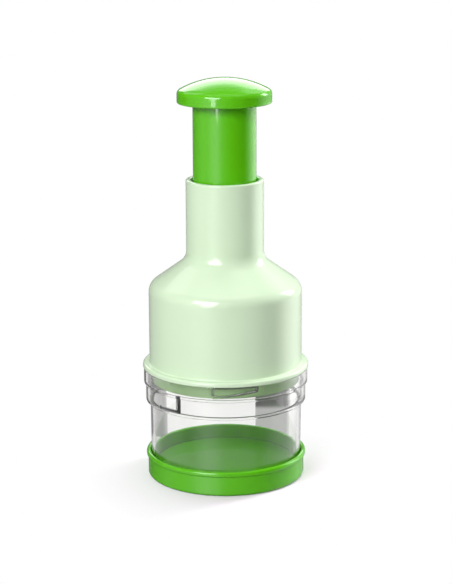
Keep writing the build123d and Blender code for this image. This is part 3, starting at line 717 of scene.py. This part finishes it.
cup_outline = with_rows(
    cup_outline, cup_top - 6.3 * mm, cup_top - 0.8 * mm, 40 * mm, high_in_r + 0.2 * mm, 0.16 * mm
)
cup_outline = with_rows(
    cup_outline, low_step + 0.4 * mm, high_step + 1.6 * mm, 40 * mm, low_in_r + 0.2 * mm, 0.25 * mm
)
lug_r, rib_r = 42.1 * mm, 42.4 * mm
thirds = (0, 120, 240)
lug_turns = (-9.5, 0.0, 22.5)
rib_turns = (-55.5, -35.0)
lug_middle = (lug_turns[0] + lug_turns[2]) / 2
rib_middle = (rib_turns[0] + rib_turns[1]) / 2
bar_turn = np.degrees(2.0 * mm / rib_r)
rib_top = high_step + 1.0 * mm
bar_low, bar_high = low_step + step_floor + 0.4 * mm, low_step + step_floor + 1.8 * mm
lug = [
    (lug_turns[0] - lug_middle, cup_top - 1.4 * mm, 0.7 * mm),
    (lug_turns[0] - lug_middle, cup_top - 5.6 * mm, 1.4 * mm),
    (lug_turns[1] - lug_middle, cup_top - 5.6 * mm, 2.0 * mm),
    (lug_turns[2] - lug_middle, cup_top - 3.4 * mm, 0.2 * mm),
    (lug_turns[2] - lug_middle, cup_top - 1.4 * mm, 0.2 * mm),
]
half_rib = (rib_turns[1] - rib_turns[0]) / 2
rib = [
    (-half_rib, bar_low, 0.2 * mm),
    (half_rib, bar_low, 0.2 * mm),
    (half_rib, rib_top, 0.3 * mm),
    (half_rib - bar_turn, rib_top, 0.3 * mm),
    (half_rib - bar_turn, bar_high, 0.4 * mm),
    (-half_rib, bar_high, 0.4 * mm),
]
edges = [
    place + edge
    for place in thirds
    for edge in (lug_turns[0] + 1, lug_turns[2], rib_turns[0], rib_turns[1] - bar_turn, rib_turns[1])
]
cup_turns = with_columns(180, edges, 1.3, 0.2)
cup = figured_lathe(
    "clear_cup", cup_outline, cup_turns, (lug_r - 0.1 * mm, high_in_r + 0.4 * mm),
    [
        (lug, lug_r, [lug_middle + place for place in thirds], 0.35 * mm, -mm),
        (rib, rib_r, [rib_middle + place for place in thirds], 0.45 * mm, 0.0),
    ],
)
clear_plastic = new_material("clear_plastic")
tree = clear_plastic.node_tree
place = add_node(tree, "ShaderNodeTexCoord")
smear = add_node(
    tree, "ShaderNodeTexNoise", {"Vector": place.outputs["Object"], "Scale": 70.0, "Detail": 3.0}
)
clear_rough = add_node(
    tree, "ShaderNodeMapRange",
    {"Value": smear.outputs["Fac"], "From Min": 0.45, "From Max": 0.75, "To Min": 0.0, "To Max": 0.05},
)
ripple = add_node(
    tree, "ShaderNodeTexNoise", {"Vector": place.outputs["Object"], "Scale": 45.0, "Detail": 1.0}
)
relief = add_node(tree, "ShaderNodeBump", {"Height": ripple.outputs["Fac"], "Distance": 0.02 * mm})
# Painted shade: the edges of the lugs and ribs bend the room away and look dark, so an attribute paints them
# dark in the base colour.
painted_shade_attribute = add_node(tree, "ShaderNodeAttribute", attribute_name="painted_edge_shade")
painted_shade_colour = add_node(
    tree, "ShaderNodeMix",
    {0: painted_shade_attribute.outputs["Fac"], 6: (0.985, 0.98, 0.975, 1), 7: (0, 0, 0, 1)}, data_type="RGBA",
)
glass = add_node(
    tree, "ShaderNodeBsdfPrincipled",
    {
        "Base Color": painted_shade_colour.outputs[2], "Roughness": clear_rough.outputs[0], "IOR": 1.49,
        "Transmission Weight": 1.0, "Normal": relief.outputs["Normal"],
    },
)
# Of the light that falls through a wall, this share is kept, so that the inside stays a little in the shade.
light_kept = 0.62
through = add_node(tree, "ShaderNodeBsdfTransparent", {"Color": (light_kept, light_kept, light_kept, 1)})
path = add_node(tree, "ShaderNodeLightPath")
lit = add_node(
    tree, "ShaderNodeMixShader",
    {0: path.outputs["Is Shadow Ray"], 1: glass.outputs[0], 2: through.outputs[0]},
)
finish_material(clear_plastic, lit.outputs[0])
cup.data.materials.append(clear_plastic)
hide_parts("chopping_cup")
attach(cup, "cup")

# ---- Bell housing ----
# Mint green, one moulding: skirt, flange, bell, shoulder and neck. Below the cup's rim the skirt has painted
# shade, a darker green for the shade under the flange and inside the cup. Three ledges on its skirt run up
# under the cup's lugs and end at a stop bar, and a rib inside carries the wiper.
bell_green, skirt_painted_shade = (0.66, 0.82, 0.59), (0.37, 0.60, 0.27)
mint = moulded_plastic("mint_plastic", bell_green, 0.10, 0.03, 0.4, 0.004 * mm, **{"IOR": 1.5})
lowest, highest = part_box("bell_housing")
flange_r, neck_top, skirt_low = highest.x, highest.z, lowest.z
bell_r = flange_r - 3.8 * mm
skirt_r = high_in_r - 2.9 * mm
skirt_in_r = skirt_r - 2.0 * mm
bell_wall = 2.2 * mm
bell_in_r = bell_r - bell_wall
lowest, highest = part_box("neck_bush")
neck_in_r, bush_low = highest.x, lowest.z
neck_r = neck_in_r + 2.8 * mm
neck_seat_r = neck_in_r - 0.66 * mm
rim = cup_top
tree = mint.node_tree
place = add_node(tree, "ShaderNodeTexCoord")
parts = add_node(tree, "ShaderNodeSeparateXYZ", {"Vector": place.outputs["Object"]})
# Painted shade: below the cup's rim the skirt's colour turns to a darker green, for the shade under the
# flange and inside the clear cup.
skirt_shade_share = add_node(
    tree, "ShaderNodeMapRange",
    {"Value": parts.outputs["Z"], "From Min": rim - 0.5 * mm, "From Max": rim, "To Min": 1.0, "To Max": 0.0},
)
painted_skirt_shade = add_node(
    tree, "ShaderNodeMix",
    {0: skirt_shade_share.outputs[0], 6: (*bell_green, 1), 7: (*skirt_painted_shade, 1)}, data_type="RGBA",
)
tree.links.new(painted_skirt_shade.outputs[2], tree.nodes["Group"].inputs["Colour"])
flange_top = rim + 2.6 * mm
shoulder_low, shoulder_high = 110.9 * mm, 126.2 * mm
slope = (shoulder_high - shoulder_low) / (bell_r - neck_r)
drop = bell_wall * np.sqrt(1 + slope**2)
rib_low, rib_h, rib_in = rim - 3.6 * mm, 1.5 * mm, 1.8 * mm
lowest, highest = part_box("wiper_ring")
groove_low, groove_high, groove_r = lowest.z - 0.1 * mm, highest.z + 0.1 * mm, highest.x + 0.1 * mm
bell_outline = rounded(
    [
        (skirt_in_r, skirt_low, 0.4 * mm),
        (skirt_r, skirt_low, 0.6 * mm),
        (skirt_r, rim, 0.3 * mm),
        (flange_r, rim, 0.5 * mm),
        (flange_r, flange_top, 1.3 * mm),
        (bell_r, flange_top, 0.9 * mm),
        (bell_r, shoulder_low, 7.4 * mm),
        (neck_r, shoulder_high, 9.0 * mm),
        (neck_r, neck_top, 0.9 * mm),
        (neck_in_r, neck_top, 0.6 * mm),
        (neck_in_r, bush_low, 0.1 * mm),
        (neck_seat_r, bush_low, 0.1 * mm),
        (neck_seat_r, shoulder_high + slope * (neck_r - neck_seat_r) - drop, 4.0 * mm),
        (bell_in_r, shoulder_low + slope * bell_wall - drop, 4.0 * mm),
        (bell_in_r, flange_top, 1.0 * mm),
        (skirt_in_r, rim, 0.3 * mm),
        (skirt_in_r, rib_low + rib_h, 0.1 * mm),
        (skirt_in_r - rib_in, rib_low + rib_h, 0.2 * mm),
        (skirt_in_r - rib_in, rib_low, 0.2 * mm),
        (skirt_in_r, rib_low, 0.1 * mm),
        (skirt_in_r, groove_high, 0.05 * mm),
        (groove_r, groove_high, 0.05 * mm),
        (groove_r, groove_low, 0.05 * mm),
        (skirt_in_r, groove_low, 0.05 * mm),
    ],
    steps=10,
)
bell_outline = with_rows(
    bell_outline, skirt_low + 0.6 * mm, rim + 0.1 * mm, skirt_r - 0.2 * mm, high_in_r + 0.3 * mm, 0.22 * mm
)
ledge_face = high_in_r - 0.3 * mm
ledge_end = lug_turns[2] + np.degrees(0.3 * mm / skirt_r)
stop_end = ledge_end + 5.0
ledge_middle = (lug_turns[0] + stop_end) / 2
ledge_low, ledge_high, ledge_h = rim - 5.8 * mm, rim - 3.6 * mm, 1.5 * mm
ledge = [
    (lug_turns[0] - ledge_middle, ledge_low - ledge_h, 0.4 * mm),
    (stop_end - ledge_middle, ledge_high - ledge_h * 1.4, 1.6 * mm),
    (stop_end - ledge_middle, rim + 1.5 * mm, 0.3 * mm),
    (ledge_end - ledge_middle, rim + 1.5 * mm, 0.3 * mm),
    (ledge_end - ledge_middle, ledge_high, 0.4 * mm),
    (lug_turns[1] - ledge_middle, ledge_low, 1.0 * mm),
    (lug_turns[0] - ledge_middle, ledge_low, 0.4 * mm),
]
edges = [place + edge for place in thirds for edge in (lug_turns[0], ledge_end, stop_end)]
bell = figured_lathe(
    "bell_shell", bell_outline, with_columns(240, edges, 1.2, 0.24),
    (skirt_r - 0.5 * mm, ledge_face + 0.2 * mm),
    [(ledge, ledge_face, [ledge_middle + place for place in thirds], 0.35 * mm, -mm)], slope=0.5 * mm,
)
bell.data.materials.append(mint)
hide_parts("bell_housing")
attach(bell, "housing")
boss_r, boss_place_r = 2.6 * mm, 24.5 * mm
lowest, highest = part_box("spring_bridge")
boss_high = shoulder_high + slope * (neck_r - boss_place_r) - drop + 1.2 * mm
boss_outline = rounded(
    [(0, boss_high, 0), (boss_r, boss_high, 0.2 * mm), (boss_r, highest.z, 0.3 * mm), (0, highest.z, 0)],
    closed=False, steps=4,
)
for place in thirds:
    boss = lathe(f"screw_boss_{place}", boss_outline, turns=32)
    a = np.radians(place + 180)
    boss.data.transform(Matrix.Translation((boss_place_r * np.sin(a), -boss_place_r * np.cos(a), 0)))
    boss.data.materials.append(mint)
    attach(boss, "housing")

# ---- Plunger shaft ----
# Bright green tube that slides in the neck. Three slots, open at its lower end, let the arms of the
# spring bridge through. A web near its top takes the spring's push, and the knob covers its upper end.
lowest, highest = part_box("plunger_tube")
tube_low, tube_top, shaft_r = lowest.z, highest.z, highest.x
tube_in_r = shaft_r - 2.28 * mm
slot_top, slot_half_w = 167.4 * mm, 3.3 * mm
web_low, web_top, web_hole_r = 207.0 * mm, 210.0 * mm, 4.2 * mm
tube_outline = rounded(
    [
        (shaft_r, tube_low, 0.3 * mm),
        (shaft_r, tube_top, 0.3 * mm),
        (tube_in_r, tube_top, 0.3 * mm),
        (tube_in_r, web_top, 0.3 * mm),
        (web_hole_r, web_top, 0.2 * mm),
        (web_hole_r, web_low, 0.2 * mm),
        (tube_in_r, web_low, 0.3 * mm),
        (tube_in_r, tube_low, 0.3 * mm),
    ],
    steps=4,
)
tube_outline = with_rows(tube_outline, slot_top - 0.5 * mm, slot_top + 0.5 * mm, 0, shaft_r + mm, 0.25 * mm)
radius, height = tube_outline[:, :1], tube_outline[:, 1:]
half_slot = np.arcsin(slot_half_w / radius)
share = np.linspace(0, 1, 12)
across_slot = half_slot * (2 * share - 1)
share = np.linspace(0, 1, 56)
across_stave = half_slot + share * (2 * np.pi / 3 - 2 * half_slot)
third = np.concatenate([across_slot, across_stave], 1)
in_slot = np.arange(third.shape[1]) < across_slot.shape[1]
turn = np.concatenate([third + np.radians(place) for place in thirds], 1)
height = np.where(np.tile(in_slot, 3), np.maximum(height, slot_top), height)
shaft = surface("plunger_shaft", np.stack([radius * np.sin(turn), -radius * np.cos(turn), height], -1))
whole = bmesh.new()
whole.from_mesh(shaft.data)
bmesh.ops.remove_doubles(whole, verts=whole.verts, dist=1e-6)
bmesh.ops.dissolve_degenerate(whole, edges=whole.edges, dist=1e-6)
whole.to_mesh(shaft.data)
whole.free()
shaft.data.materials.append(bright_green)
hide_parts("plunger_tube")
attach(shaft, "plunger")

# ---- Press knob ----
# Bright green crowned cap, hollow below, whose inner collar drops into the shaft. Screws from inside
# the shaft hold it.
lowest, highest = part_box("press_knob")
knob_r, knob_top = highest.x, highest.z
knob_low = knob_top - 13.85 * mm
crown_r, edge_round, crown_t = 52.0 * mm, 3.0 * mm, 2.4 * mm
hollow_r, hollow_top = 22.3 * mm, knob_low + 6.5 * mm
collar_r, collar_in_r, collar_low = 15.3 * mm, 12.6 * mm, 210.0 * mm
crown_centre = knob_top - crown_r
edge_r = knob_r - edge_round
edge_z = crown_centre + np.sqrt((crown_r - edge_round) ** 2 - edge_r**2)
meet = np.arcsin(edge_r / (crown_r - edge_round))
a, b = np.linspace(0, meet, 40), np.linspace(meet, np.pi / 2, 14)[1:]
crown = np.stack([crown_r * np.sin(a), crown_centre + crown_r * np.cos(a)], -1)
crown_edge = np.stack([edge_r + edge_round * np.sin(b), edge_z + edge_round * np.cos(b)], -1)
inner_crown = knob_top - crown_t - crown_r + np.sqrt(crown_r**2 - collar_in_r**2)
below = rounded(
    [
        (knob_r, edge_z - 0.3 * mm, 0),
        (knob_r, knob_low, 0.8 * mm),
        (hollow_r, knob_low, 0.5 * mm),
        (hollow_r, hollow_top, 0.8 * mm),
        (collar_r, hollow_top, 0.4 * mm),
        (collar_r, collar_low, 0.3 * mm),
        (collar_in_r, collar_low, 0.3 * mm),
        (collar_in_r, inner_crown, 0.5 * mm),
        (0, knob_top - crown_t, 0),
    ],
    closed=False,
)
knob = lathe("crowned_knob", np.concatenate([crown, crown_edge, below]), turns=256)
knob.data.materials.append(bright_green)
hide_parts("press_knob")
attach(knob, "plunger")

# ---- Zigzag blade ----
# One strip of stainless steel, folded into a zigzag and ground thin along its lower edge.
brushed, given, out = new_group(
    "brushed_grain",
    [("Along", "Float"), ("Up", "Float"), ("Tone", "Color")],
    [("Colour", "Color"), ("Roughness", "Float"), ("Height", "Float")],
)
place = add_node(brushed, "ShaderNodeTexCoord")
scale = add_node(
    brushed, "ShaderNodeCombineXYZ",
    {"X": given.outputs["Along"], "Y": given.outputs["Along"], "Z": given.outputs["Up"]},
)
stretched = add_node(
    brushed, "ShaderNodeVectorMath", {0: place.outputs["Object"], 1: scale.outputs[0]}, operation="MULTIPLY"
)
grain = add_node(
    brushed, "ShaderNodeTexNoise", {"Vector": stretched.outputs[0], "Scale": 1.0, "Detail": 4.0}
)
stain = add_node(
    brushed, "ShaderNodeTexNoise", {"Vector": place.outputs["Object"], "Scale": 120.0, "Detail": 3.0}
)
tone, rough, dull = (
    add_node(
        brushed, "ShaderNodeMapRange",
        {"Value": source.outputs["Fac"], "From Min": low, "From Max": high, "To Min": least, "To Max": most},
    )
    for source, low, high, least, most in (
        (grain, 0.3, 0.7, 0.88, 1.06), (grain, 0.3, 0.7, 0.2, 0.34), (stain, 0.4, 0.8, 0.0, 0.12)
    )
)
tinted = add_node(
    brushed, "ShaderNodeHueSaturation", {"Color": given.outputs["Tone"], "Value": tone.outputs[0]}
)
total = add_node(brushed, "ShaderNodeMath", {0: rough.outputs[0], 1: dull.outputs[0]}, operation="ADD")
brushed.links.new(tinted.outputs[0], out.inputs["Colour"])
brushed.links.new(total.outputs[0], out.inputs["Roughness"])
brushed.links.new(grain.outputs["Fac"], out.inputs["Height"])


def steel(name, tone, along, up, bump):
    """Bare steel with its grain drawn out along one direction."""
    material = new_material(name)
    tree = material.node_tree
    skin = tree.nodes.new("ShaderNodeGroup")
    skin.node_tree = brushed
    skin.inputs["Along"].default_value = along
    skin.inputs["Up"].default_value = up
    skin.inputs["Tone"].default_value = (*tone, 1)
    relief = add_node(tree, "ShaderNodeBump", {"Height": skin.outputs["Height"], "Distance": bump})
    body = add_node(
        tree, "ShaderNodeBsdfPrincipled",
        {
            "Base Color": skin.outputs["Colour"], "Roughness": skin.outputs["Roughness"],
            "Metallic": 1.0, "Normal": relief.outputs["Normal"],
        },
    )
    return finish_material(material, body.outputs[0])


blade_steel = steel("blade_steel", (0.72, 0.72, 0.73), 60.0, 2400.0, 0.003 * mm)
lowest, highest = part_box("zigzag_blade")
blade_low, blade_high = lowest.z, highest.z
blade_reach, fold_pitch, fold_round, end_turn = 34.5 * mm, 12.0 * mm, 2.5 * mm, np.radians(14.0)
blade_t, edge_t, edge_h = 0.7 * mm, 0.15 * mm, 2.0 * mm
fold_x = np.arange(-2, 3) * fold_pitch
fold_y = np.where(np.arange(-2, 3) % 2, 1, -1) * np.sqrt(blade_reach**2 - fold_x**2)
end_x, end_y = blade_reach * np.cos(end_turn), blade_reach * np.sin(end_turn)
line = rounded(
    [(-end_x, end_y, 0), *[(x, y, fold_round) for x, y in zip(fold_x, fold_y)], (end_x, end_y, 0)],
    closed=False, steps=24,
)
run = np.concatenate([[0], np.cumsum(np.linalg.norm(np.diff(line, axis=0), axis=1))])
every = np.union1d(run, np.linspace(0, run[-1], 160))
every = every[np.diff(every, prepend=-1) > 0.02 * mm]
line = np.stack([np.interp(every, run, line[:, 0]), np.interp(every, run, line[:, 1])], -1)
ahead = np.gradient(line, axis=0)
ahead /= np.linalg.norm(ahead, axis=1, keepdims=True)
normal = np.stack([-ahead[:, 1], ahead[:, 0]], -1)
section = rounded(
    [
        (blade_t / 2, blade_high, 0.06 * mm),
        (-blade_t / 2, blade_high, 0.06 * mm),
        (-blade_t / 2, blade_low + edge_h, 0.3 * mm),
        (-edge_t / 2, blade_low, 0.03 * mm),
        (edge_t / 2, blade_low, 0.03 * mm),
        (blade_t / 2, blade_low + edge_h, 0.3 * mm),
    ],
    steps=4, hold=0.1 * mm,
)
flat = line[:, None] + normal[:, None] * section[None, :, :1]
points = np.concatenate([flat, section[None, :, 1:] + 0 * flat[..., :1]], -1)
ends = [(*line[i], (blade_low + blade_high) / 2) for i in (0, -1)]
blade = surface("zigzag_strip", points, False, ends)
blade.data.materials.append(blade_steel)
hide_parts("zigzag_blade")
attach(blade, "blades")

# ---- Return spring ----
# Hard-drawn steel wire, wound with its end coils closed, inside the shaft between the bridge's seat and
# the web. The real spring shortens as the knob goes down.
plain_steel = steel("plain_steel", (0.6, 0.6, 0.62), 500.0, 500.0, 0.002 * mm)
spring_low, spring_high = 122.5 * mm, web_low
wire_r = 0.9 * mm
coil_r = 12.2 * mm
coils, end_coils = 9, 1.0
turn = np.linspace(0, coils + 2 * end_coils, 900) * 2 * np.pi
share = np.clip((turn / (2 * np.pi) - end_coils * 0.5) / (coils + end_coils), 0, 1)
rise = spring_high - spring_low - 2 * wire_r
height = spring_low + wire_r + rise * share
around = np.linspace(0, 2 * np.pi, 14, endpoint=False)[None]
centre = np.stack([coil_r * np.sin(turn), -coil_r * np.cos(turn), height], -1)[:, None]
outward = np.stack([np.sin(turn), -np.cos(turn), 0 * turn], -1)[:, None]
upward = np.array([0, 0, 1])
points = centre + wire_r * (np.cos(around)[..., None] * outward + np.sin(around)[..., None] * upward)
spring = surface("coil_spring", points, False, [centre[0, 0], centre[-1, 0]])
spring.data.materials.append(plain_steel)
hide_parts("return_spring")
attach(spring, "housing")
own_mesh(spring)

# ---- Mechanism inside the shaft and bell ----
# White acetal for what slides, turns or guides, the wiper and its ring included, and steel for the
# spindle, screws, washer, clip and bowed spring. They keep their solid shapes and get finishes here.
acetal = moulded_plastic("white_acetal", (0.84, 0.84, 0.82), 0.32, 0.02, 0.3, 0.004 * mm, **{"IOR": 1.48})
acetal_parts = (
    "neck_bush", "spring_bridge", "ratchet_nut", "spring_seat", "thrust_washer", "carrier_hub",
    "blade_carrier", "wiper_plate", "wiper_ring",
)
steel_parts = (
    "bridge_screws", "knob_screws", "carrier_screws", "spindle_screw", "ratchet_spring", "spindle",
    "spindle_washer", "spindle_circlip",
)
for finish, names in ((acetal, acetal_parts), (plain_steel, steel_parts)):
    for name in names:
        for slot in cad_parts[name].material_slots:
            slot.material = finish
